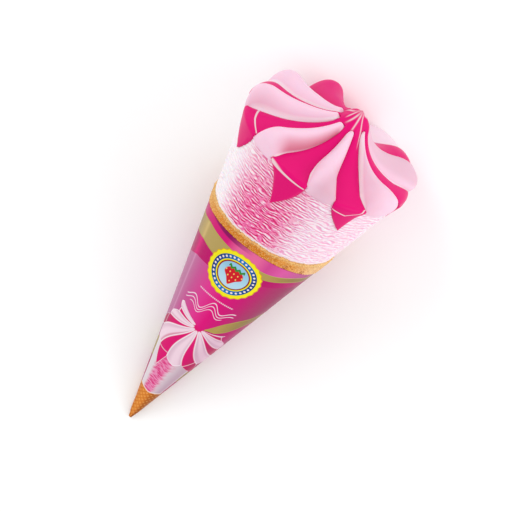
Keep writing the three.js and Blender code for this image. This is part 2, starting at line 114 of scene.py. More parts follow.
# Painted highlights across flutes where they fold over the shoulder: the flute, millimetres below the
# shoulder at its left, middle and right, and half the thickness at both ends
CREASE_GLINTS = [
    (0, 0.2, 0.5, 0.8, 0.5, 0.22),
    (1, 2.2, 2.9, -1.2, 0.25, 0.2),
    (7, -5, -2.4, -0.6, 0.4, 0.25)]

TILT = math.atan(SLOPE)
AXIS = Vector((math.cos(TILT), 0, math.sin(TILT)))
FRONT = Vector((-math.sin(TILT), 0, math.cos(TILT)))
SIDE = Vector((0, -1, 0))
sleeve_tip = min((v.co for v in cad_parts["paper_sleeve"].data.vertices), key=AXIS.dot)
APEX = sleeve_tip - AXIS * SLEEVE_TIP * MM


def cosd(azimuth):
    return np.cos(np.radians(azimuth))


def sind(azimuth):
    return np.sin(np.radians(azimuth))


def smoothstep(low, high, value):
    share = np.clip((value - low) / (high - low), 0, 1)
    return share * share * (3 - 2 * share)


def lerp(low, high, share):
    return low + (high - low) * share


def round_axis(radius, azimuth, height):
    """Points in the cone's coordinates, as an array with x, y and z last."""
    radius, azimuth, height = np.broadcast_arrays(radius, azimuth, height)
    return np.stack([radius * cosd(azimuth), radius * sind(azimuth), height], -1).astype(float)


def laid_down(points):
    """Cone coordinates in millimetres to the frame in metres, with nothing below the surface it lies on."""
    turned = np.asarray(points, float) @ np.array([FRONT, SIDE, AXIS]) * MM + np.array(APEX)
    turned[..., 2] = np.maximum(turned[..., 2], 0)
    return turned


# Meshes -------------------------------------------------------------------------------------------
def add_piece(name, points, faces, material, node, slot, uv, values, sharp=None):
    """A smooth mesh that rides on the body and stands for a node."""
    mesh = bpy.data.meshes.new(name)
    mesh.from_pydata(laid_down(points).tolist(), [], faces)
    mesh.polygons.foreach_set("use_smooth", [True] * len(mesh.polygons))
    corners = np.asarray([corner for face in uv for corner in face], np.float32)
    mesh.uv_layers.new(name="surface").data.foreach_set("uv", corners.ravel())
    for label, numbers in values.items():
        layer = mesh.attributes.new(label, "FLOAT", "POINT")
        layer.data.foreach_set("value", np.asarray(numbers, np.float32).ravel())
    if sharp is not None:
        mesh.set_sharp_from_angle(angle=math.radians(sharp))
    mesh.materials.append(material)
    piece = bpy.data.objects.new(name, mesh)
    bpy.context.scene.collection.objects.link(piece)
    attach(piece, "root")
    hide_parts(node)


def laid_out(around, up):
    """Both surface coordinates of a grid, with one more column that closes the circle."""
    up = np.concatenate([up, up[:, :1]], 1)
    return np.broadcast_to(around, up.shape), up


def surface_at(uv, row, column):
    """Both surface coordinates at places of a grid."""
    return np.stack([uv[0][row, column], uv[1][row, column]], -1)


def spun(rows, start, end, uv, values=None):
    """A closed surface round the axis: rows from the start, up the outside, to the end, each once round."""
    count, sides = rows.shape[:2]
    points = np.concatenate([rows.reshape(-1, 3), [start, end]])
    first, last = count * sides, count * sides + 1
    row, column = np.meshgrid(np.arange(count - 1), np.arange(sides), indexing="ij")
    row, column = row.ravel(), column.ravel()
    cells = [(row, column), (row, column + 1), (row + 1, column + 1), (row + 1, column)]
    quads = np.stack([r * sides + c % sides for r, c in cells], 1)
    here = np.arange(sides)
    there = (here + 1) % sides
    below = np.stack([np.full(sides, first), there, here], 1)
    top = (count - 1) * sides
    above = np.stack([np.full(sides, last), top + here, top + there], 1)
    faces = quads.tolist() + below.tolist() + above.tolist()
    corners = np.stack([surface_at(uv, r, c) for r, c in cells], 1).tolist()
    for ring in (0, count - 1):
        corners += np.stack([surface_at(uv, ring, c) for c in (here, here, here + 1)], 1).tolist()
    ends = {label: np.append(numbers.ravel(), [numbers[0].mean(), numbers[-1].mean()])
            for label, numbers in (values or {}).items()}
    return dict(points=points, faces=faces, uv=corners, values=ends)


def skin(outer, inner, poles, filled, uv, values):
    """A closed shell over the filled cells of a grid whose rows go out from the peak, with a fan there."""
    rows, sides = outer.shape[:2]
    points = np.concatenate([outer.reshape(-1, 3), inner.reshape(-1, 3), poles])
    under = rows * sides
    faces, corners = [], []
    held = np.zeros((rows + 1, sides), bool)  # by cell, with the fan before the rows and nothing after them
    held[0] = True
    held[1:rows] = filled

    def at(row, column, face):
        return face * under + row * sides + column % sides

    def spot(row, column):
        return uv[0][row, column], uv[1][row, column]

    for column in range(sides):
        faces.append([2 * under, at(0, column, 0), at(0, column + 1, 0)])
        faces.append([2 * under + 1, at(0, column + 1, 1), at(0, column, 1)])
        corners += [[spot(0, column)] * 3] * 2
    for row, column in zip(*np.nonzero(filled)):
        ring = [(row, column), (row + 1, column), (row + 1, column + 1), (row, column + 1)]
        faces.append([at(r, c, 0) for r, c in ring])
        corners.append([spot(r, c) for r, c in ring])
        faces.append([at(r, c, 1) for r, c in reversed(ring)])
        corners.append([spot(r, c) for r, c in reversed(ring)])
        beside = [(row + 1, column - 1), (row + 2, column), (row + 1, (column + 1) % sides), (row, column)]
        for i, cell in enumerate(beside):
            if held[cell]:
                continue
            (ra, ca), (rb, cb) = ring[i], ring[(i + 1) % 4]
            faces.append([at(rb, cb, 0), at(ra, ca, 0), at(ra, ca, 1), at(rb, cb, 1)])
            corners.append([spot(rb, cb), spot(ra, ca), spot(ra, ca), spot(rb, cb)])
    both = {label: np.concatenate([numbers.ravel(), numbers.ravel(), [numbers[0, 0]] * 2])
            for label, numbers in values.items()}
    return pruned(points, faces, corners, both)


def pruned(points, faces, corners, values):
    """Leaves out the points that no face uses."""
    used = np.unique([index for face in faces for index in face])
    place = np.zeros(len(points), int)
    place[used] = np.arange(len(used))
    faces = [[int(place[index]) for index in face] for face in faces]
    return dict(points=points[used], faces=faces, uv=corners, values={k: v[used] for k, v in values.items()})


def random_relief(seed, kept):
    """Random relief from -1 to 1 on a grid that closes round. kept says how much of each wave is in it."""
    noise = np.random.default_rng(seed).standard_normal(kept.shape)
    relief = np.fft.ifft2(np.fft.fft2(noise) * kept).real
    return np.clip(relief / (2.2 * relief.std()), -1, 1)


def churned(rows, columns, along, across, stretch, seed):
    """Random bumps of the given sizes in cells."""
    pitch = np.hypot(np.fft.fftfreq(rows)[:, None] * across, np.fft.fftfreq(columns)[None, :] * along)
    return random_relief(seed, np.exp(-(((pitch - 1) / stretch) ** 2)))


def drawn_out(rows, columns, along, across, stretch, seed):
    """Random furrows that run along the rows, of the given sizes in cells."""
    up = abs(np.fft.fftfreq(rows))[:, None] * across - 1
    round_ = np.fft.fftfreq(columns)[None, :] * along
    return random_relief(seed, np.exp(-((up / stretch) ** 2) - round_ ** 2))


def warped(relief, shift):
    """Moves a grid's values along its columns by a number of cells."""
    rows = (np.arange(len(relief))[:, None] + shift) % len(relief)
    low = rows.astype(int) % len(relief)
    column = np.arange(relief.shape[1])[None]
    return lerp(relief[low, column], relief[(low + 1) % len(relief), column], rows % 1)


# Shader formulas ----------------------------------------------------------------------------------
INK = 0.86  # share of the light that white ink gives back


class Field:
    """A number that varies over the surface; its arithmetic adds the nodes that carry it out."""

    def __init__(self, socket):
        self.socket = socket
        self.tree = socket.node.id_data

    def made(self, operation, *inputs):
        node = self.tree.nodes.new("ShaderNodeMath")
        node.operation = operation
        for slot, value in zip(node.inputs, inputs):
            feed(slot, value)
        return Field(node.outputs[0])

    __add__ = __radd__ = lambda a, b: a.made("ADD", a, b)
    __mul__ = __rmul__ = lambda a, b: a.made("MULTIPLY", a, b)
    __sub__ = lambda a, b: a.made("SUBTRACT", a, b)
    __rsub__ = lambda a, b: a.made("SUBTRACT", b, a)
    __truediv__ = lambda a, b: a.made("DIVIDE", a, b)
    __pow__ = lambda a, b: a.made("POWER", a, b)
    __abs__ = lambda a: a.made("ABSOLUTE", a)
    least = lambda a, b: a.made("MINIMUM", a, b)
    most = lambda a, b: a.made("MAXIMUM", a, b)
    over = lambda a, b: a.made("GREATER_THAN", a, b)
    sin = lambda a: a.made("SINE", a)
    cos = lambda a: a.made("COSINE", a)
    root = lambda a: a.made("SQRT", a)
    part = lambda a: a.made("FRACT", a)
    angle = lambda a, b: a.made("ARCTAN2", a, b) * (360 / TAU)

    def wrap(self, low, high):
        """The same number brought between low and high by whole turns."""
        return self.made("WRAP", self, high, low)

    def each(self, pitch):
        """Distance from the middle of the pitch that it falls in, as a share from 0 to 0.5."""
        return abs((self / pitch).part() - 0.5)

    def ramp(self, low, high):
        """0 at low, 1 at high, with smooth ends. low may be the larger one."""
        node = self.tree.nodes.new("ShaderNodeMapRange")
        node.interpolation_type = "SMOOTHSTEP"
        for slot, value in zip(node.inputs, (self, low, high)):
            feed(slot, value)
        return Field(node.outputs["Result"])

    def hump(self, middle, reach):
        """1 at the middle, 0 a reach away on both sides."""
        return abs(self - middle).ramp(reach, 0)

    def below(self, limit, soft=0.1):
        """1 below the limit and 0 above it, with an edge as soft as given."""
        return (self - limit).ramp(soft / 2, -soft / 2)


def hypotenuse(x, y):
    return (x * x + y * y).root()


def feed(slot, value):
    """Gives a socket a field, another socket, or a plain value."""
    if isinstance(value, Field):
        value = value.socket
    if isinstance(value, bpy.types.NodeSocket):
        slot.id_data.links.new(value, slot)
    else:
        slot.default_value = value


def ink(red, green, blue):
    """A colour as seen, from 0 to 255, as linear light."""
    shares = [c / 255 for c in (red, green, blue)]
    return [INK * (s / 12.92 if s <= 0.04045 else ((s + 0.055) / 1.055) ** 2.4) for s in shares] + [1]


def mixed(tree, low, high, share, way="MIX"):
    """Goes from the colour low to the colour high."""
    node = tree.nodes.new("ShaderNodeMix")
    node.data_type, node.blend_type = "RGBA", way
    for slot, value in zip((node.inputs[0], node.inputs[6], node.inputs[7]), (share, low, high)):
        feed(slot, value)
    return node.outputs[2]


def shaded(tree, colour, factor):
    """A colour made lighter or darker by a factor."""
    return mixed(tree, colour, factor, 1, "MULTIPLY")


def stops(tree, share, colours):
    """Colours along a field, each given as its place from 0 to 1, and red, green and blue as seen."""
    node = tree.nodes.new("ShaderNodeValToRGB")
    ramp = node.color_ramp
    while len(ramp.elements) < len(colours):
        ramp.elements.new(0.5)
    for element, (place, *seen) in zip(ramp.elements, colours):
        element.position = place
        element.color = ink(*seen)
    feed(node.inputs[0], share)
    return node.outputs[0]


def stored(tree, label):
    node = tree.nodes.new("ShaderNodeAttribute")
    node.attribute_name = label
    return Field(node.outputs["Fac"])


def surface_uv(tree):
    spread = tree.nodes.new("ShaderNodeSeparateXYZ")
    tree.links.new(tree.nodes.new("ShaderNodeTexCoord").outputs["UV"], spread.inputs[0])
    return Field(spread.outputs[0]), Field(spread.outputs[1])


# Effects that several materials use, as node groups -----------------------------------------------
def effect(name, output, kind, **inputs):
    """A node group with number inputs, and the sockets of what goes in and what comes out."""
    group = bpy.data.node_groups.new(name, "ShaderNodeTree")
    for label, value in inputs.items():
        socket = group.interface.new_socket(label, in_out="INPUT", socket_type="NodeSocketFloat")
        socket.default_value = value
    group.interface.new_socket(output, in_out="OUTPUT", socket_type=kind)
    return group, group.nodes.new("NodeGroupInput").outputs, group.nodes.new("NodeGroupOutput").inputs


def joined(tree, parts):
    node = tree.nodes.new("ShaderNodeCombineXYZ")
    for slot, value in zip(node.inputs, parts):
        feed(slot, value)
    return node.outputs[0]


def cone_place(tree):
    """The surface point in the cone's own directions, in millimetres."""
    place = tree.nodes.new("ShaderNodeTexCoord").outputs["Object"]
    parts = []
    for way in (FRONT, SIDE, AXIS):
        dot = tree.nodes.new("ShaderNodeVectorMath")
        dot.operation = "DOT_PRODUCT"
        tree.links.new(place, dot.inputs[0])
        dot.inputs[1].default_value = way
        parts.append(Field(dot.outputs["Value"]) * (1 / MM))
    return parts


def noise_over(tree, place, scale, detail):
    node = tree.nodes.new("ShaderNodeTexNoise")
    for label, value in dict(Vector=joined(tree, place), Scale=scale, Detail=detail).items():
        feed(node.inputs[label], value)
    return Field(node.outputs["Fac"])


def make_mottle():
    """Soft unevenness of a colour or a roughness: a factor round 1."""
    group, given, result = effect("mottle", "Factor", "NodeSocketFloat", Size=4, Strength=0.1, Detail=3)
    swing = noise_over(group, cone_place(group), Field(given["Size"]) ** -1, given["Detail"]) - 0.5
    feed(result["Factor"], swing * 2 * Field(given["Strength"]) + 1)
    return group


def make_streaks():
    """Fine drawn-out streaks that run round the cone, from 0 to 1."""
    group, given, result = effect(
        "streaks", "Streak", "NodeSocketFloat", Length=4, Thickness=0.6, Waves=0.6)
    x, y, z = cone_place(group)
    length, thickness = Field(given["Length"]), Field(given["Thickness"])
    wave = ((x * 1.1).sin() + (y * 1.3 + 1).sin()) * Field(given["Waves"])
    streak = noise_over(group, (x / length, y / length, (z + wave) / thickness), 1, 2)
    feed(result["Streak"], streak.ramp(0.35, 0.65))
    return group


def make_grain():
    """Fine surface relief, as a normal."""
    group, given, result = effect("grain", "Normal", "NodeSocketVector", Size=0.4, Height=0.05, Detail=4)
    relief = noise_over(group, cone_place(group), Field(given["Size"]) ** -1, given["Detail"])
    bump = group.nodes.new("ShaderNodeBump")
    feed(bump.inputs["Height"], relief * Field(given["Height"]))
    bump.inputs["Distance"].default_value = MM
    feed(result["Normal"], bump.outputs[0])
    return group


MOTTLE, STREAKS, GRAIN = make_mottle(), make_streaks(), make_grain()


def placed(tree, group, **values):
    """A shared effect in a material, with the material's own values. Returns its output."""
    node = tree.nodes.new("ShaderNodeGroup")
    node.node_tree = group
    for label, value in values.items():
        feed(node.inputs[label.capitalize()], value)
    return Field(node.outputs[0])


def new_material(name, roughness, **constants):
    """A material, its tree and its Principled shader, with its constants set on the shader."""
    material = bpy.data.materials.new(name)
    material.use_nodes = True
    tree = material.node_tree
    shader = tree.nodes["Principled BSDF"]
    shader.inputs["Roughness"].default_value = roughness
    for label, value in constants.items():
        shader.inputs[label.replace("_", " ")].default_value = value
    return material, tree, shader


# The piped top's surface --------------------------------------------------------------------------
def top_columns(arm, rib):
    """Across each flute, from -1 to 1, and then along the rib after it, from 0 to 1."""
    step = np.tile(np.arange(arm + rib), len(FLUTES))
    on_rib = step >= arm
    return dict(
        k=np.repeat(np.arange(len(FLUTES)), arm + rib),
        on_rib=on_rib,
        across=np.where(on_rib, 0, 2 * step / arm - 1),
        along=np.where(on_rib, (step - arm) / rib, 0))


def gap_after(k):
    return (FLUTES[(k + 1) % FLUTE_COUNT] - FLUTES[k]) % 360


def opened(radius):
    """How far the ribs have opened, from 0 at the peak to 1 a little way out."""
    return np.clip((radius - RIB_START) / RIB_RISE, 0, 1)


def risen(radius):
    """How far the ribs have come up beside the flutes, from 0 at the peak to 1 a little way out."""
    return smoothstep(RIB_START + RIB_STEP, RIB_START + RIB_RISE, radius)


def flute_side(k, gap, radius, spread=0):
    """Degrees from a flute's middle to its side. spread widens it where the ribs stand beside it."""
    ribs = np.maximum(np.sqrt(1 - (1 - opened(radius)) ** 2), RIB_LEAST)
    flare = smoothstep(RIB_FLARE, EDGE_RADIUS, radius)
    room = PITCH / 2 * lerp(FLUTE_SIZE[k] * (1 - RIB_SHARE), FLUTE_END[k] * (1 - RIB_END_SHARE), flare)
    return lerp(gap / 2, room + spread, ribs)


def column_azimuth(columns, u, radius, spread=0):
    k, along = columns["k"], columns["along"]
    after, gap = (k + 1) % FLUTE_COUNT, gap_after(k)
    towards = np.where(columns["across"] < 0, gap_after(k - 1), gap)
    on_flute = columns["across"] * flute_side(k, towards, radius, spread)
    on_rib = lerp(flute_side(k, gap, radius, spread), gap - flute_side(after, gap, radius, spread), along)
    u = np.minimum(u, 1)
    bow = lerp(FLUTE_BOW[k], FLUTE_BOW[after], along) * sind(180 * u) ** 2
    bend = lerp(FLUTE_BEND[k], FLUTE_BEND[after], along) * sind(180 * u ** 0.43) ** 4
    return FLUTES[k] + np.where(columns["on_rib"], on_rib, on_flute) + (bow + bend) * opened(radius)


def hollow(azimuth, radius):
    """How far the top lies lower beside the peak."""
    lower = 0
    for at, width, middle, depth in HOLLOWS:
        away = ((azimuth - at + 180) % 360 - 180) / width
        x = radius / middle
        lower = lower + depth * np.exp(-(away ** 2)) * (x * np.exp(1 - x)) ** 3
    return lower


def flute_height(radius):
    x = np.minimum(1, radius / EDGE_RADIUS)
    return PEAK_HEIGHT * lerp(1 - x * x, (1 - x) ** PEAK_SHARPNESS, PEAK_SHARE)


def bed(u):
    """Radius and height of a flute's bed, below the sauce."""
    outer = lerp(CROWN_RADIUS, EDGE_RADIUS, (u - CROWN_SHARE) / (1 - CROWN_SHARE))
    radius = np.where(u < CROWN_SHARE, CROWN_RADIUS * u / CROWN_SHARE, outer)
    return radius, flute_height(radius) - SAUCE * (1 - (radius / EDGE_RADIUS) ** 6)


def crest(u, size, reach):
    """Radius and height of the line along a rib's top."""
    inner = np.minimum(CROWN_RADIUS * u / CROWN_SHARE, CROWN_RADIUS)
    size = size - np.maximum(size - 1, 0) * (1 - smoothstep(4, 18, inner))
    rise = (PEAK_HEIGHT - CROWN_HEIGHT) * (1 - inner / CROWN_RADIUS) ** CROWN_STEEPNESS
    share = np.clip((u - CROWN_SHARE) / (1 - CROWN_SHARE), 0, 1)
    angle = lerp(90, -RIB_END, share)
    across = (EDGE_RADIUS - CROWN_RADIUS) / cosd(RIB_END)
    upright = CROWN_HEIGHT * size / (1 + sind(RIB_END))
    stretch = reach * sind(180 * np.minimum(1, share * 1.15))
    radius = CROWN_RADIUS + across * cosd(angle) + stretch
    height = upright * (sind(angle) + sind(RIB_END))
    inside = u < CROWN_SHARE
    return np.where(inside, inner, radius), np.where(inside, CROWN_HEIGHT * size + rise, height)


def rib_round(columns):
    """Share of a rib's height across its width."""
    broad, steep = RIB_ROUND
    return np.where(columns["on_rib"], (1 - abs(2 * columns["along"] - 1) ** broad) ** steep, 0)


def top_rise(columns):
    """Share of the way from the flutes' beds to the ribs' crests, by column."""
    k = columns["k"]
    foot = lerp(FLUTE_FILL[k], FLUTE_FILL[(k + 1) % FLUTE_COUNT], columns["along"])
    return lerp(foot, 1, rib_round(columns))


def top_surface(columns, u, azimuth, share):
    """Radius and height at a share of the way from the flutes' beds to the ribs' crests."""
    floor_radius, floor_height = bed(u)
    rib_radius, rib_height = crest(u, RIB_SIZE[columns["k"]], RIB_REACH[columns["k"]])
    share = share * risen(floor_radius)
    height = lerp(floor_height, rib_height, share) - hollow(azimuth, floor_radius)
    return lerp(floor_radius, rib_radius, share), height


def top_point(radius, azimuth, height):
    """Cone coordinates on the top, which swirls and drifts sideways towards the peak."""
    inwards = np.maximum(0, 1 - radius / EDGE_RADIUS)
    point = round_axis(radius, azimuth + SWIRL * inwards, SHOULDER + height)
    drift = inwards ** PEAK_EASE
    point[..., 0] += PEAK_FORWARD * drift
    point[..., 1] += PEAK_DRIFT * drift
    return point


def sag(azimuth):
    return SAG_DEPTH * np.exp(-(((azimuth % 360 - 180) / SAG_WIDTH) ** 2))


def wall_radius(azimuth, height):
    return SLOPE * height - INSET + sag(azimuth)


# Pieces -------------------------------------------------------------------------------------------
def sleeve_edge(azimuth):
    return SLEEVE_EDGE + SLEEVE_SKEW * cosd(azimuth - SLEEVE_SKEW_AT)


def lap_rise(azimuth):
    """The outer layer stands proud at the lap's free edge, and eases down where the layer under it ends."""
    under = LAP_AT - azimuth % 360
    eased = LAP_STEP * (1 - smoothstep(LAP_WIDTH, 2 * LAP_WIDTH, under))
    return np.where((under < 0) | (under > 2 * LAP_WIDTH), 0, eased)


def paper_sleeve(material):
    """The wrapper, with its lap, a few shallow dents and the twist that closes its tip."""
    columns = np.sort(np.concatenate([np.arange(-180, 180, 1.25), [LAP_AT + 0.12]]))
    edge, lap = sleeve_edge(columns), lap_rise(columns)
    nose = np.linspace(SLEEVE_TIP, SLEEVE_NOSE, 16)[:, None] + 0 * edge
    taper = SLEEVE_NOSE + (edge - SLEEVE_NOSE) * np.linspace(0, 1, 120)[1:, None]
    heights = np.concatenate([nose, taper])
    slim = 1 - 0.4 * (1 - smoothstep(SLEEVE_TIP - 0.5, SLEEVE_NOSE, heights)) ** 2
    twisted = 1 - smoothstep(SLEEVE_TIP, SLEEVE_NOSE + 8, heights)
    pleats = PLEAT_DEPTH * twisted * sind(7 * columns + 9 * heights)
    dents = DENT_DEPTH * sind(3 * columns + 2.4 * heights) * sind(2 * columns - 3.1 * heights + 50)
    eased = smoothstep(SLEEVE_NOSE, SLEEVE_NOSE + 6, heights)
    radius = SLOPE * heights * slim + lap * eased + pleats + dents * eased - 0.05
    lip = round_axis(SLOPE * edge - SLEEVE_WALL / 2 + lap, columns, edge + 0.08)[None]
    inner_heights = SLEEVE_SOLID_TIP + (edge - SLEEVE_SOLID_TIP) * np.linspace(1, 0, 14)[:, None]
    inside = round_axis(SLOPE * inner_heights - SLEEVE_WALL, columns, inner_heights)
    rows = np.concatenate([round_axis(radius, columns, heights), lip, inside])
    up = np.concatenate([heights, edge[None], inner_heights]) / 100
    uv = laid_out((np.append(columns, columns[0] + 360) + 180) / 360, up)
    mesh = spun(rows, (0, 0, SLEEVE_TIP - 0.1), (0, 0, SLEEVE_SOLID_TIP - 0.3), uv)
    add_piece("printed_sleeve", material=material, node="paper_sleeve", slot="sleeve_paper", sharp=45, **mesh)


def wafer_top(azimuth):
    waves = (sind(5 * azimuth + 70), sind(11 * azimuth + 130), sind(17 * azimuth + 31))
    return WAFER_TOP + WAFER_SKEW * cosd(azimuth - WAFER_SKEW_AT) + WAFER_RAGGED * (sum(waves) / 3)


def wafer_cone(material):
    """The rolled wafer. Its bare band and its rim are crumbly."""
    sides = 720
    columns = np.arange(sides) * 360 / sides
    edge = sleeve_edge(columns) + 0.3
    crumbs = churned(60, sides, 3, 3, 0.5, 11) + 0.7 * churned(60, sides, 9, 9, 0.5, 12)
    top = wafer_top(columns) + 0.3 * crumbs[0]
    crumbly = 1 - smoothstep(0.97, 1, -cosd(columns))  # none where the wafer lies lowest
    band = np.linspace(0, 1, 26)[:, None]
    turn = np.linspace(0, 90, 7)[1:, None]
    flat = np.linspace(RIM_ROUND, WAFER_INSIDE, 8)[1:, None]
    hidden = np.array([SLEEVE_SOLID_TIP + 1.2, 40, 70])[:, None] + 0 * columns
    bare = lerp(edge, top - RIM_ROUND, band)
    grain = (0.1 + 0.15 * crumbs[:26]) * crumbly - 0.05
    rim = SLOPE * top - RIM_ROUND * (1 - cosd(turn)) + 0.12 * crumbs[26:32] * crumbly
    inner = top - np.array([1.0, 6, 30, 60])[:, None]
    parts = [  # radius, height, and place on the bare band, from 0 at the sleeve to 1 at the rim
        (SLOPE * hidden - WAFER_OUTSIDE, hidden, -0.1),
        (SLOPE * edge[None] - WAFER_OUTSIDE, edge[None], 0),
        (SLOPE * bare + grain, bare, band),
        (rim, top - RIM_ROUND + RIM_ROUND * sind(turn), 1),
        (SLOPE * top - flat, top + 0.1 * crumbs[32:39], 1.1),
        (SLOPE * inner - WAFER_INSIDE, inner, 1.3)]
    rows = np.concatenate([round_axis(radius, columns, height) for radius, height, place in parts])
    up = np.concatenate([place + 0 * height for radius, height, place in parts])
    uv = laid_out(np.append(columns, 360) / 360, up)
    mesh = spun(rows, (0, 0, SLEEVE_SOLID_TIP + 0.8), (0, 0, WAFER_SOLID_TIP), uv)
    add_piece("crumbly_wafer", material=material, node="wafer_cone", slot="wafer", **mesh)


def ice_cream(material):
    """The churned wall, which is torn into fine wavy furrows, on the hidden filling of the wafer."""
    sides, count = 640, 140
    columns = np.arange(sides) * 360 / sides
    foot, top = wafer_top(columns) - 0.15, SHOULDER - 0.05
    heights = lerp(foot + 0.05, top, np.linspace(0, 1, count)[:, None])
    wander = 2.4 * churned(count, sides, 32, 18, 0.7, 22)
    furrows = warped(drawn_out(count, sides, 13, 4.8, 0.4, 21), wander)
    tears = warped(drawn_out(count, sides, 8, 3.2, 0.5, 23), wander)
    relief = 0.85 * furrows + 0.3 * tears
    ends = smoothstep(0, 2, heights - foot) * (1 - smoothstep(top - 1, top, heights))
    depth = ends * (1 - sag(columns) / SAG_DEPTH) * (FURROW_FLOOR - FURROW_DEPTH * relief)
    tuck = 0.2 * (1 - smoothstep(foot, foot + 1.5, heights))
    wall = round_axis(wall_radius(columns, heights) - tuck - np.maximum(depth, 0), columns, heights)
    within = np.array([WAFER_SOLID_TIP + 2, 60])[:, None] + 0 * columns
    filling = round_axis(SLOPE * within - WAFER_INSIDE - 0.3, columns, within)
    neck = round_axis(SLOPE * foot - WAFER_INSIDE - 0.1, columns, foot - 0.4)[None]
    ledge = round_axis(SLOPE * foot - WAFER_INSIDE, columns, foot)[None]
    rows = np.concatenate([filling, neck, ledge, wall])
    blank = np.zeros((4, sides))
    values = dict(
        relief=np.concatenate([blank, relief]),
        above_wafer=np.concatenate([blank, heights - foot]))
    up = np.concatenate([within, foot[None], foot[None], heights]) / 200
    uv = laid_out(np.append(columns, 360) / 360, up)
    mesh = spun(rows, (0, 0, WAFER_SOLID_TIP + 1.5), (0, 0, SHOULDER - 0.3), uv, values)
    add_piece("churned_ice_cream", material=material, node="ice_cream", slot="streaked_ice_cream", **mesh)


def piped_ribs(material):
    """Eight fat ribs of piped cream. Their lower ends lap a little over the wall."""
    columns = top_columns(FLUTE_CELLS, RIB_CELLS)
    k, full = columns["k"], rib_round(columns)
    u = np.concatenate([[0.02], np.linspace(0.05, 0.2, 26), np.linspace(0.2, 1, 110)[1:]])[:, None]
    azimuth = column_azimuth(columns, u, bed(u)[0])
    radius, height = top_surface(columns, u, azimuth, top_rise(columns))
    lap = smoothstep(0.86, 1, u) * full ** 0.5
    height = height - RIB_LAP * lap
    reach = wall_radius(azimuth, SHOULDER + height) + RIB_PROUD
    radius = np.where(lap > 0, np.maximum(radius, reach * (lap > 0.6)), radius)
    sunken = 0.45 * (1 - columns["across"] ** 2) * ~columns["on_rib"] * (FLUTE_FILL[k] == 0)
    surface = top_point(radius, azimuth, height - sunken)
    tucked = top_point(radius[-1:] - 1.2, azimuth[-1:], height[-1:] - 0.2)
    rows = np.concatenate([surface, tucked])[::-1]
    values = rib_shades(columns, u, radius, azimuth)
    values = {label: np.concatenate([shade, shade[-1:]])[::-1] for label, shade in values.items()}
    values["coated"] = np.broadcast_to((k == COATED_RIB) * np.minimum(1, 8 * full), rows.shape[:2])
    around = np.append(columns["along"] + k, FLUTE_COUNT) / FLUTE_COUNT
    uv = laid_out(around, np.append(u[:, 0], 1.01)[::-1, None] + 0 * k)
    mesh = spun(rows, (0, 0, SHOULDER - 4), tuple(top_point(0, 0, PEAK_HEIGHT - SAUCE)), uv, values)
    add_piece("piped_ribs", material=material, node="cream_rosette", slot="piped_cream", **mesh)


def rib_shades(columns, u, radius, azimuth):
    """Where painted shade makes the ribs pinker or greyer, and the distance in millimetres from their
    borders.
    """
    k, along = columns["k"], columns["along"]
    start = np.arange(FLUTE_COUNT) * (FLUTE_CELLS + RIB_CELLS) + FLUTE_CELLS
    last = (start + RIB_CELLS) % azimuth.shape[1]
    wide = ((azimuth[:, last] - azimuth[:, start]) % 360 * TAU / 360 * radius[:, start])[:, k]
    middle = smoothstep(0.1, 0.45, u) * (1 - smoothstep(0.55, 0.95, u))
    inner = smoothstep(0.12, 0.2, u) * (1 - smoothstep(0.55, 0.98, u))
    # Painted shade: a red-pink shade on one side of some ribs.
    red_shade = (
        (k == 7) * smoothstep(0.55, 1, along) * inner
        + (k == 6) * 0.3 * smoothstep(0.5, 1, along) * smoothstep(0.3, 0.8, u)
        + (k == 1) * 0.2 * (1 - smoothstep(0.1, 0.5, along)) * smoothstep(0.3, 0.8, u))
    slanted = smoothstep(-0.2, 0.3, along - 0.6 + 1.4 * (u - 0.6))
    # Painted shade: greyer parts of some ribs, on their shaded sides.
    grey_shade = (
        (k == 0) * 1.15 * slanted * (1 - 0.35 * smoothstep(0.85, 0.98, u))
        + (k == 2) * 0.75 * smoothstep(0.02, 0.3, along) * (1 - smoothstep(0.8, 1, u))
        + (k == 1) * 0.5 * smoothstep(0, 0.3, along) * middle)
    pale = (k == 3) * 1.0 + 0 * u
    border = np.where(columns["on_rib"], np.minimum(along, 1 - along) * wide, 0)
    return dict(red_shade=red_shade, grey_shade=grey_shade, pale=pale, border=border)


def smoothed(points, weight, passes):
    """Evens out the rows of a grid where the weight is 1."""
    for _ in range(passes):
        middle = (points[:-2] + 2 * points[1:-1] + points[2:]) / 4
        points[1:-1] = lerp(points[1:-1], middle, weight[1:-1])
    return points


def grid_normals(points):
    """Outward normals of a grid whose rows go out from the peak and whose columns go round."""
    down = np.gradient(points, axis=0)
    round_ = np.roll(points, -1, 1) - np.roll(points, 1, 1)
    normals = np.cross(down, round_)
    return normals / np.maximum(np.linalg.norm(normals, axis=-1, keepdims=True), 1e-9)


def gleams(azimuth, radius):
    """Thin painted highlight lines in the sauce that run out from the peak."""
    shine = 0 * azimuth
    for start, end, reach in PEAK_LINES:
        line = lerp(start, end, np.clip(radius / reach, 0, 1))
        away = (azimuth - line + 180) % 360 - 180
        width = 0.11 + 0.1 * smoothstep(0, 2, radius)
        drawn = np.exp(-((away * TAU / 360 * radius / width) ** 2))
        drawn = drawn * smoothstep(0.1, 0.8, radius) * (1 - smoothstep(0.6 * reach, reach, radius))
        shine = np.maximum(shine, drawn)
    return shine


def drip_azimuth(columns, across, fall):
    """Each drip narrows from its flute's width at the shoulder to its point."""
    k = columns["k"]
    point = FLUTES[k] + (DRIP_AT[k] - FLUTES[k] + 180) % 360 - 180
    sides = []
    for way, power in zip((-1.0, 1.0), np.array(DRIP_CURVE)[k].T):
        side = dict(columns, across=way + 0 * across, on_rib=False)
        start = column_azimuth(side, 1, EDGE_RADIUS, SAUCE_SPREAD + CORNER_SPREAD)
        sides.append(lerp(start, point + way * 0.5, fall ** power))
    return lerp(sides[0], sides[1], (across + 1) / 2)


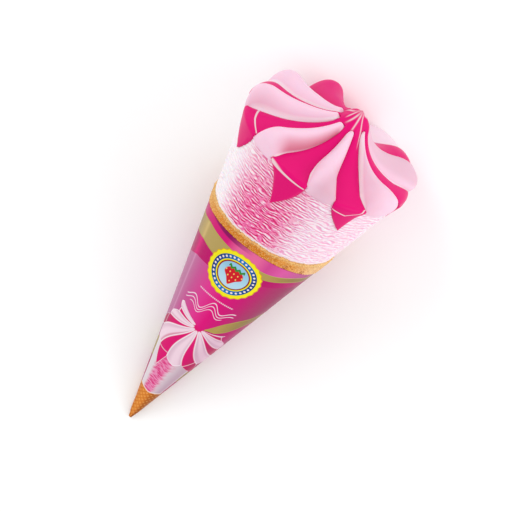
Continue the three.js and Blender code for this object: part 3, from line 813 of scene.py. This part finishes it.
def sauce_faces(base, across, floor_radius, fall):
    """The sauce's outside and inside. It is thick in the flutes, and thinner down the drips."""
    apart = np.concatenate([risen(floor_radius), 1 + 0 * fall])
    bulge = np.sqrt(np.clip(1 - (across * apart) ** 2, 0, 1))
    thin = np.concatenate([1 + 0 * floor_radius, 1 - 0.45 * fall])
    edge = smoothstep(0.8, 1, abs(across)) * np.concatenate([0 * floor_radius, smoothstep(0.05, 0.35, fall)])
    depth = lerp(SAUCE_EDGE, SAUCE, bulge) * thin * (1 - 0.8 * edge)
    normals = grid_normals(base)
    return base + normals * depth[..., None], base - normals * SAUCE_SKIRT


def sauce(material):
    """The sauce over the peak and in the flutes, and its pointed drips down the wall."""
    columns = top_columns(26, 3)
    k, across = columns["k"], np.where(columns["on_rib"], 1, columns["across"])
    top = np.concatenate([np.linspace(0.012, 0.2, 26), np.linspace(0.2, 1, 84)[1:]])[:, None]
    fall = np.linspace(0, 1, 40)[1:, None]
    floor_radius, spread = bed(top)[0], SAUCE_SPREAD + CORNER_SPREAD * smoothstep(0.85, 1, top)
    azimuth = column_azimuth(columns, top, floor_radius, spread)
    radius, height = top_surface(columns, top, azimuth, FLUTE_FILL[k])
    drip, drop = drip_azimuth(columns, across, fall), DRIP_LENGTH[k] * fall
    on_wall = round_axis(wall_radius(drip, SHOULDER - drop), drip, SHOULDER - drop)
    base = np.concatenate([top_point(radius, azimuth, height), on_wall])
    near_shoulder = np.exp(-((np.arange(len(base)) - len(top) + 0.5) / 5) ** 2)[:, None, None]
    outer, inner = sauce_faces(smoothed(base, near_shoulder, 3), across, floor_radius, fall)
    covered = np.ones((len(base) - 1, len(k)), bool)
    covered[SAUCE_ROWS:, columns["on_rib"]] = False
    poles = np.array([top_point(0, 0, PEAK_HEIGHT), top_point(0, 0, PEAK_HEIGHT - 2)])
    share = np.where(columns["on_rib"], 0.5 + columns["along"] / 2, (across + 1) / 4)
    up = np.concatenate([(top - 1) * 18 + 0 * azimuth, drop]) / 100 + 0.5
    uv = laid_out(np.append(k + share, FLUTE_COUNT) / FLUTE_COUNT, up)
    values = dict(gleam=np.concatenate([gleams(azimuth, floor_radius), 0 * drip]))
    mesh = skin(outer, inner, poles, covered, uv, values)
    add_piece(
        "strawberry_sauce_skin", material=material, node="strawberry_sauce", slot="strawberry_sauce", **mesh)


# Materials ----------------------------------------------------------------------------------------
def paper_material():
    """Glossy printed paper. The print is laid out by azimuth and by height along the axis."""
    material, tree, shader = new_material("printed_paper", 0.3, Specular_IOR_Level=0.08)
    u, v = surface_uv(tree)
    azimuth, height = u * 360 - 180, v * 100
    colour, gold = swept_bands(tree, azimuth, height)
    flat_x, flat_y = unrolled(azimuth, height)
    colour = streaked_field(tree, colour, azimuth, height)
    colour = printed_fan(tree, colour, azimuth, flat_x, flat_y)
    colour = waffle_tip(tree, colour, azimuth, height, flat_x, flat_y)
    colour = flourish(tree, colour, azimuth, height)
    colour = round_seal(tree, colour, flat_x, flat_y)
    colour = shaded(tree, colour, placed(tree, MOTTLE, size=9, strength=0.03))
    feed(shader.inputs["Base Color"], colour)
    feed(shader.inputs["Metallic"], gold * 0.25)
    return material


def unrolled(azimuth, height):
    """Millimetres on the sleeve laid flat: to the right of the front line, and out from the apex."""
    out = height * (1 / math.cos(TILT))
    turned = azimuth * (math.sin(TILT) * TAU / 360)
    return out * turned.sin(), out * turned.cos()


def swept_bands(tree, azimuth, height):
    """The panels and the gold ribbons that run down round the cone. Returns the colour and the gold mask."""
    lay = functools.partial(mixed, tree)
    # Painted light in the panel's stops by azimuth, over the print: a pale streak near azimuth -53 is a
    # painted sheen, and the darker stops towards the right side are painted shade.
    panel = stops(tree, azimuth / 360 + 0.5, [
        (0, 190, 30, 110), (0.25, 186, 100, 150), (0.345, 196, 120, 163), (0.352, 216, 146, 187),
        (0.36, 198, 112, 160), (0.4, 206, 88, 154), (0.46, 232, 58, 150), (0.515, 228, 14, 126),
        (0.56, 210, 18, 120), (0.625, 172, 42, 102), (0.69, 144, 22, 82), (0.8, 182, 16, 100),
        (1, 190, 30, 110)])
    down = (azimuth * -1).wrap(-10, 350)
    centre = 91.6 - (down - 50).most(0) * 0.0925 - (down - 290).most(0) * 0.12
    half = 3.7 - down.ramp(90, 270) * 1.3 + down.hump(316, 22) * 0.9
    half = half * down.ramp(348, 328)
    off = height - centre
    upper = 93.2 + azimuth.ramp(22, 60) * 2.3 + (azimuth - 70).most(0) * 0.12
    upper_half = 1.5 - azimuth.ramp(20, 80) * 0.4
    upper_off = height - upper
    right = azimuth.over(0)
    lowest = height - 35.5 + (down - 62) * 0.02
    round_back = (down - 180).hump(0, 120).over(0.001)
    lowest_half = 3.9 - azimuth.ramp(30, 70) * 1.2

    # Painted light here too: the brighter stop near azimuth -54 is a painted sheen, and the darker stops to
    # the right are painted shade.
    magenta = stops(tree, azimuth / 360 + 0.5, [
        (0, 186, 8, 100), (0.28, 170, 0, 92), (0.33, 188, 4, 104), (0.35, 226, 2, 124),
        (0.37, 192, 4, 106), (0.5, 198, 6, 110), (0.66, 182, 4, 104), (0.7, 160, 0, 90),
        (1, 186, 8, 100)])
    under_ribbon = (off + half).below(0)
    under_left = (off + half + 6 + (down - 30) * 0.075).ramp(-0.1, 0.1) * under_ribbon * down.ramp(250, 190)
    colour = lay(panel, magenta, under_left * (1 - right).most(azimuth.over(90)))
    under_right = (upper_off + upper_half + 3.6).ramp(-0.1, 0.1) * azimuth.ramp(120, 80) * right
    colour = lay(colour, magenta, under_right)
    under_lower = under_ribbon * down.ramp(225, 262)
    colour = lay(colour, magenta, under_lower)
    under_lowest = (lowest + 13).ramp(-0.1, 0.1) * lowest.below(0) * round_back
    colour = lay(colour, magenta, under_lowest)

    # These stops are darker towards the sides: painted shade.
    above = stops(tree, azimuth / 360 + 0.5, [
        (0, 190, 30, 110), (0.28, 196, 14, 112), (0.36, 212, 6, 116), (0.44, 218, 20, 124),
        (0.475, 238, 104, 160), (0.53, 236, 106, 160), (0.56, 214, 70, 150), (0.6, 226, 92, 168),
        (0.66, 186, 84, 142), (0.72, 170, 60, 120), (1, 190, 30, 110)])
    over_left = (off - half).ramp(-0.05, 0.05) * (1 - right)
    over_right = (upper_off - upper_half).ramp(-0.05, 0.05) * right * azimuth.ramp(110, 90)
    colour = lay(colour, above, over_left + over_right)
    # Painted shade: a dark purple crescent just under the sleeve's top edge, in front.
    crescent = (height - 98.8 + azimuth.hump(-26, 34) * 0.6).ramp(-0.1, 0.4) * azimuth.hump(-28, 32).root()
    colour = lay(colour, ink(122, 0, 90), crescent * 0.85)

    upper_shows = azimuth.over(15) * azimuth.below(110)
    ribbon = (abs(off) - half).below(0) * down.over(8)
    upper_ribbon = (abs(upper_off) - upper_half).below(0) * upper_shows
    lowest_ribbon = (abs(lowest) - lowest_half).below(0) * round_back
    gold = ribbon.most(upper_ribbon).most(lowest_ribbon)
    # Painted light on the foil: a paler streak near azimuth -54 is a painted sheen, and it darkens towards
    # the right as painted shade.
    foil = stops(tree, azimuth / 360 + 0.5, [
        (0, 182, 156, 92), (0.3, 168, 140, 78), (0.345, 198, 170, 102), (0.354, 216, 186, 116),
        (0.365, 188, 162, 96), (0.5, 190, 166, 98), (0.58, 184, 157, 86), (0.64, 152, 126, 66),
        (0.7, 138, 106, 46), (1, 182, 156, 92)])
    colour = lay(colour, foil, gold)
    rims = ((abs(off) - half).hump(0, 0.35) * down.over(8) * down.below(346)).most(
        (abs(upper_off) - upper_half).hump(0, 0.32) * upper_shows).most(
        (abs(lowest) - lowest_half).hump(0, 0.35) * round_back)
    return lay(colour, ink(172, 186, 66), rims * 0.85), gold


def from_waffle(azimuth, height):
    """Millimetres above the upper edge of the waffle at the tip."""
    return height - WAFFLE_TOP - abs(azimuth) * 0.02


def streaked_field(tree, colour, azimuth, height):
    """A white field above the waffle, with pink streaks in its middle and a pale frame at its sides."""
    lay = functools.partial(mixed, tree)
    from_side = abs(azimuth) - 59 - (height - 20) * 0.12
    # Painted shade: the white field greys towards the right side.
    white = lay(ink(234, 222, 228), ink(192, 160, 178), azimuth.ramp(0, 50))
    tinted = lay(white, ink(244, 140, 190), azimuth.ramp(-38, -20) * azimuth.ramp(20, 2) * 0.9)
    ripples = placed(tree, STREAKS, length=2.2, thickness=0.55, waves=0.25)
    rippled = lay(tinted, ink(228, 40, 126), ripples * azimuth.ramp(-42, -22) * azimuth.ramp(30, 0) * 0.9)
    field = from_waffle(azimuth, height).ramp(-0.1, 0.1) * from_side.below(0) * height.below(44)
    frame_line = from_side.hump(-0.6, 3.2) * height.ramp(17, 20) * height.below(42)
    return lay(lay(colour, rippled, field), ink(232, 238, 236), frame_line * 0.8)


def printed_fan(tree, colour, azimuth, flat_x, flat_y):
    """A striped fan with rounded pale lobes and hanging magenta points."""
    lay = functools.partial(mixed, tree)
    across, down = flat_x - 1.2, FAN_HUB - flat_y
    angle, out = across.angle(down), hypotenuse(across, down)
    # Painted shade: the fan greys towards the right side, and its white rims dim there.
    shade = azimuth.ramp(0, 50)
    phase = (angle + (out * 7.5 * DEGREE).sin() * 8) / FAN_PITCH + 0.92
    stripe = phase.part() - 0.5
    broad = 0.17 + out.ramp(6, 22) * 0.07
    from_border = (abs(stripe) - broad) * FAN_PITCH * DEGREE * out
    magenta_part = from_border.below(0)
    reach = FAN_REACH - abs(angle).ramp(34, 86) * 10.5
    pointed = reach + (1 - abs(stripe) / broad).most(0) * abs(angle).ramp(80, 40) * 7 - 1.6
    rounded = reach - 2 + ((abs(stripe) - broad) / (0.5 - broad)).most(0).root() * 2.2
    limit = rounded + (pointed - rounded) * magenta_part
    inside = (out - limit).below(0) * angle.below(90) * (angle * -1).below(113)
    hollow_side = abs(stripe - 0.04).ramp(0.44, 0.26)
    pale = lay(ink(250, 220, 234), ink(214, 172, 194), (shade * 0.7 + hollow_side * 0.5).least(1))
    pale = lay(pale, ink(214, 60, 110), stripe.hump(-0.27, 0.09) * angle.hump(-40, 40) * 0.6)
    # The magenta stripes darken towards both sides: painted shade.
    dark = lay(ink(228, 16, 116), ink(178, 0, 84), azimuth.ramp(10, 60).most(azimuth.ramp(-30, -70)))
    fan = lay(pale, dark, magenta_part.most(out.below(1.7)))
    rim = from_border.hump(0, 0.4).most((out - limit).hump(-0.2, 0.35)) * out.ramp(1.6, 2.6)
    fan = lay(fan, ink(252, 240, 246), rim * (1 - shade * 0.4))
    fold = (out - reach + 2 + stripe * 5).hump(0, 0.35) * magenta_part * abs(angle).below(70)
    fan = lay(fan, ink(240, 214, 222), fold * 0.8)
    return lay(colour, fan, inside)


def waffle_tip(tree, colour, azimuth, height, flat_x, flat_y):
    """A waffle lattice over the tip, with a white line along its upper edge."""
    lay = functools.partial(mixed, tree)
    above = from_waffle(azimuth, height)
    cells = (flat_y + flat_x).each(WAFFLE_CELL).most((flat_y - flat_x).each(WAFFLE_CELL))
    # Painted light in the waffle's stops: lighter at the front left and darker towards the right side.
    waffle = stops(tree, azimuth / 360 + 0.5, [
        (0, 190, 110, 36), (0.35, 214, 126, 40), (0.45, 240, 152, 62), (0.52, 230, 140, 54),
        (0.57, 184, 106, 38), (0.66, 150, 84, 28), (1, 190, 110, 36)])
    waffle = lay(waffle, ink(186, 78, 20), cells.ramp(0.36, 0.5) * 0.6)
    waffle = lay(waffle, ink(246, 184, 104), (1 - cells).ramp(0.66, 0.95) * 0.4)
    colour = lay(colour, waffle, above.below(0))
    return lay(colour, ink(252, 236, 224), (above - 0.1).hump(0, 0.35) * abs(azimuth).below(60, 8))


def flourish(tree, colour, azimuth, height):
    """Thin waves in white across the panel, one above the other, and a fine dotted line above them."""
    middle = height - WAVES_AT - azimuth * 0.05
    wave = (azimuth * 0.21 + 0.9).sin() * (azimuth.hump(-3, 46) * 2.4 + 0.3)
    strokes = (middle - wave - 1.6).hump(0, 0.42).most((middle - wave * 0.9).hump(0, 0.34))
    lowest = (middle - wave * 0.75 + 1.5).hump(0, 0.3) * azimuth.ramp(-30, -27) * azimuth.ramp(24, 21)
    strokes = strokes.most(lowest)
    strokes = strokes * azimuth.ramp(-39, -36) * azimuth.ramp(35, 32)
    dots = (height - DOTS_AT).hump(0, 0.5) * azimuth.ramp(-25, -24) * azimuth.ramp(25, 24)
    dots = dots * azimuth.each(2.4).ramp(0.42, 0.3)
    return mixed(tree, colour, ink(252, 238, 246), strokes.most(dots * 0.8))


def round_seal(tree, colour, flat_x, flat_y):
    """A scalloped round seal: yellow edge, studded blue ring, and a strawberry on a pale blue middle."""
    lay = functools.partial(mixed, tree)
    x, y = flat_x, flat_y - SEAL_AT
    out, turn = hypotenuse(x, y), y.angle(x)
    scallop = turn.each(15) * -0.9
    colour = lay(colour, ink(222, 168, 36), (out - SEAL_RADIUS - 0.35 - scallop).below(0))
    colour = lay(colour, ink(252, 240, 24), (out - SEAL_RADIUS - scallop).below(0))
    ring = (out - SEAL_RADIUS * 0.84).below(0)
    colour = lay(colour, lay(ink(20, 40, 120), ink(30, 120, 196), x.hump(0, SEAL_RADIUS)), ring)
    row = SEAL_RADIUS * 0.75
    stud = hypotenuse(turn.each(12) * 12 * DEGREE * row, out - row)
    colour = lay(colour, ink(250, 236, 236), stud.below(0.45, 0.15))
    colour = lay(colour, ink(252, 240, 24), (out - SEAL_RADIUS * 0.655).below(0))
    colour = lay(colour, ink(150, 20, 30), (out - SEAL_RADIUS * 0.61).below(0))
    pale = lay(ink(190, 226, 244), ink(150, 204, 232), y.ramp(-5, 5))
    colour = lay(colour, pale, (out - SEAL_RADIUS * 0.56).below(0))
    return strawberry(tree, colour, x / 1.3, y / 1.3)


def strawberry(tree, colour, x, y):
    """A plain drawn strawberry, about 6 mm high, with pale seeds and a row of leaves."""
    narrow = 2.9 - (y * -1 - 0.2).most(0) * 0.62
    berry = (x * x / (narrow * narrow) + (y - 0.4) * (y - 0.4) / 6.5).below(1, 0.25) * y.below(2.4)
    berry = berry.most((abs(x) - (y + 3.9) * 0.62).below(0) * (y + 3.9).ramp(-0.1, 0.1) * y.below(0))
    colour = mixed(tree, colour, ink(214, 26, 40), berry)
    seed_x, seed_y = (x / 1.3 + 0.5).part() - 0.5, (y / 1.5).part() - 0.5
    seeds = (seed_x * seed_x + seed_y * seed_y * 0.6).below(0.022, 0.02)
    colour = mixed(tree, colour, ink(250, 220, 110), seeds * berry)
    leaf = (y - 2.5 + x.each(1.5) * 1.6).hump(0.5, 0.7) * abs(x).below(2.6)
    return mixed(tree, colour, ink(60, 140, 50), leaf.ramp(0.1, 0.4))


def wafer_material():
    """Baked crumb, paler at the sides, with a painted highlight along the rim, and a few browner spots."""
    material, tree, shader = new_material("wafer_crumb", 0.8, Specular_IOR_Level=0.2)
    u, v = surface_uv(tree)
    azimuth = (u * 360).wrap(-180, 180)
    tone = stops(tree, azimuth / 360 + 0.5, [
        (0, 214, 140, 66), (0.25, 238, 188, 124), (0.33, 240, 172, 92), (0.41, 234, 146, 44),
        (0.52, 230, 138, 30), (0.61, 240, 164, 76), (0.68, 250, 206, 154), (0.8, 226, 158, 90),
        (1, 214, 140, 66)])
    # Painted highlight: the crumb turns paler towards the rim and over it.
    tone = mixed(tree, tone, ink(252, 212, 140), v.ramp(0.75, 1.05) * 0.6)
    pits = placed(tree, MOTTLE, size=0.42, strength=0.5, detail=3)
    tone = shaded(tree, tone, placed(tree, MOTTLE, size=1.6, strength=0.16))
    tone = mixed(tree, tone, ink(254, 224, 160), pits.ramp(1.02, 1.16) * 0.6)
    tone = mixed(tree, tone, ink(196, 100, 20), pits.ramp(0.97, 0.86) * 0.45)
    spots = placed(tree, MOTTLE, size=2.6, strength=1, detail=2)
    baked = spots.ramp(1.28, 1.42) * v.hump(0.25, 0.6) * 0.7
    for at, middle, reach in ((33, 0.3, 0.35), (52, 0.18, 0.3)):
        spot = (azimuth.hump(at, 4) * v.hump(middle, reach)).ramp(0.1, 0.5)
        baked = baked.most(spot * pits.ramp(1.2, 0.9))
    feed(shader.inputs["Base Color"], mixed(tree, tone, ink(164, 70, 26), baked * 0.8))
    feed(shader.inputs["Normal"], placed(tree, GRAIN, size=0.3, height=0.12))
    return material


def ice_cream_material():
    """Frosty ice cream whose furrows are magenta, most of all in front to the left, partly as painted shade.
    """
    material, tree, shader = new_material(
        "streaked_ice_cream", 0.6, Subsurface_Weight=0.15, Subsurface_Scale=MM)
    u, v = surface_uv(tree)
    azimuth = (u * 360).wrap(-180, 180)
    front = azimuth.ramp(-56, -20) * azimuth.ramp(26, 0)
    behind = abs(azimuth).ramp(135, 165) * 0.8
    patch = front.most(behind).most(azimuth.hump(105, 38) * 0.55)
    right = azimuth.ramp(0, 20) * azimuth.ramp(175, 150)
    upper = (v * 200).ramp(118, 134)
    patch = patch * (1 - upper * 0.35)
    relief = stored(tree, "relief")
    frost = placed(tree, STREAKS, length=1.5, thickness=0.5, waves=0.2)
    depth = relief * -1 + (frost - 0.5) * 0.3
    strip = 1 - stored(tree, "above_wafer").ramp(1.7, 0.6)
    pale = mixed(tree, ink(255, 249, 252), ink(253, 224, 238), right * 0.7)
    base = mixed(tree, pale, ink(250, 86, 168), patch * strip * 0.9)
    furrow = mixed(tree, ink(246, 142, 196), ink(224, 2, 112), patch)
    # Ripple and painted light together: the magenta in the furrows is strawberry and also painted shade in
    # the recesses, and the white on the crests below is also a painted highlight.
    dark = depth.ramp(-0.04, 0.27) * (patch * 1.2 + right * 0.5 + 0.16).least(1) * strip
    crest = depth.ramp(-0.14, -0.46) * (0.98 - patch * 0.22)
    toned = mixed(tree, mixed(tree, base, furrow, dark), ink(255, 246, 251), crest)
    feed(shader.inputs["Base Color"], toned)
    feed(shader.inputs["Normal"], placed(tree, GRAIN, size=0.35, height=0.06))
    return material


def cream_material():
    """Smooth piped cream with painted highlight borders and painted shade, and sauce over one rib."""
    material, tree, shader = new_material(
        "piped_cream", 0.5, Specular_IOR_Level=0.25, Subsurface_Weight=0.1, Subsurface_Scale=MM)
    red_shade, grey_shade, pale, border, coated = (
        stored(tree, label) for label in ("red_shade", "grey_shade", "pale", "border", "coated"))
    # Painted shade: greyer and redder parts of some ribs.
    cream = mixed(tree, ink(249, 208, 229), ink(229, 180, 199), grey_shade * 0.85)
    cream = mixed(tree, cream, ink(214, 96, 126), red_shade * 0.8)
    cream = mixed(tree, cream, ink(251, 228, 240), pale * 0.8)
    # Painted highlight: a thin white line along each rib's borders, held back where the ribs are redder.
    cream = mixed(tree, cream, ink(255, 244, 250), border.hump(0.2, 0.46) * (1 - red_shade * 1.6).most(0))
    cream = shaded(tree, cream, placed(tree, MOTTLE, size=5, strength=0.02))
    feed(shader.inputs["Base Color"], mixed(tree, cream, ink(230, 22, 120), coated.ramp(0.4, 0.6)))
    return material


def crease_glints(tree):
    """A painted highlight across some flutes where they turn down over the shoulder."""
    u, v = surface_uv(tree)
    fallen = (v - 0.5) * 100
    shine = u * 0
    for flute, left, middle, right, thick_left, thick_right in CREASE_GLINTS:
        across = (u * FLUTE_COUNT - flute) * 4 - 1
        line = across.most(0) * (right - middle) + (across * -1).most(0) * (left - middle) + middle
        thick = (across + 1) * ((thick_right - thick_left) / 2) + thick_left
        drawn = abs((fallen - line) / thick).ramp(1.25, 0.7)
        shine = shine.most(drawn * abs(across).below(0.96, 0.04))
    return shine


def sauce_material():
    material, tree, shader = new_material("sauce", 0.35, Specular_IOR_Level=0.1)
    # Painted highlights: pale lines from the peak and across some flutes at the shoulder, over the sauce's
    # magenta.
    gleam = stored(tree, "gleam").most(crease_glints(tree))
    body = shaded(tree, ink(231, 4, 116), placed(tree, MOTTLE, size=6, strength=0.03))
    feed(shader.inputs["Base Color"], mixed(tree, body, ink(240, 226, 226), gleam * 0.85))
    return material


def floor_material():
    material, tree, shader = new_material("studio_floor", 0.7)
    white = shaded(tree, (0.98, 0.98, 0.98, 1), placed(tree, MOTTLE, size=60, strength=0.01))
    feed(shader.inputs["Base Color"], white)
    return material


paper_sleeve(paper_material())
wafer_cone(wafer_material())
ice_cream(ice_cream_material())
piped_ribs(cream_material())
sauce(sauce_material())


# Studio -------------------------------------------------------------------------------------------
TURN = math.radians(36.18)  # how far the axis leans to the right of upright, as seen
RAISED = math.radians(28)  # how far the line of sight leans from the front towards the top
VIEW_WIDTH = 184.3
VIEW_RIGHT, VIEW_UP, VIEW_NEAR = 47.6, 60.72, 57  # the view's middle, from the apex
towards_camera = AXIS * math.sin(RAISED) + FRONT * math.cos(RAISED)
up_axis = AXIS * math.cos(RAISED) - FRONT * math.sin(RAISED)
right = up_axis * math.sin(TURN) + SIDE * math.cos(TURN)
up = up_axis * math.cos(TURN) - SIDE * math.sin(TURN)
facing = Matrix((right, up, towards_camera)).transposed().to_4x4()


def studio_floor():
    bpy.ops.mesh.primitive_plane_add(size=6, location=(0, 0, 0))
    floor = bpy.context.object
    floor.name = "studio_floor"
    floor.data.materials.append(floor_material())


def camera():
    """A long lens, so that the view is nearly parallel."""
    lens, sensor, frame_width = 1000, 36, VIEW_WIDTH * MM
    distance = frame_width * lens / sensor
    middle = APEX + right * VIEW_RIGHT * MM + up * VIEW_UP * MM + towards_camera * VIEW_NEAR * MM
    data = bpy.data.cameras.new("camera")
    data.lens, data.sensor_width = lens, sensor
    seen = bpy.data.objects.new("camera", data)
    seen.matrix_world = Matrix.Translation(middle + towards_camera * distance) @ facing
    bpy.context.scene.collection.objects.link(seen)
    bpy.context.scene.camera = seen


def lamp(name, way, size, power, distance=0.9):
    data = bpy.data.lights.new(name, "AREA")
    data.shape, data.size, data.energy = "DISK", size, power
    light = bpy.data.objects.new(name, data)
    direction = (right * way[0] + up * way[1] + towards_camera * way[2]).normalized()
    light.location = direction * distance
    light.rotation_euler = direction.to_track_quat("Z", "Y").to_euler()
    bpy.context.scene.collection.objects.link(light)


def lighting():
    world = bpy.data.worlds.new("studio")
    bpy.context.scene.world = world
    world.use_nodes = True
    world.node_tree.nodes["Background"].inputs[0].default_value = (1, 1, 1, 1)
    world.node_tree.nodes["Background"].inputs[1].default_value = 0.93
    lamp("key", (-0.5, 0.75, 0.9), 0.5, 1.6)
    lamp("fill", (0.9, -0.35, 0.5), 0.8, 2.6)


studio_floor()
camera()
lighting()
bpy.context.scene.view_settings.view_transform = "Standard"
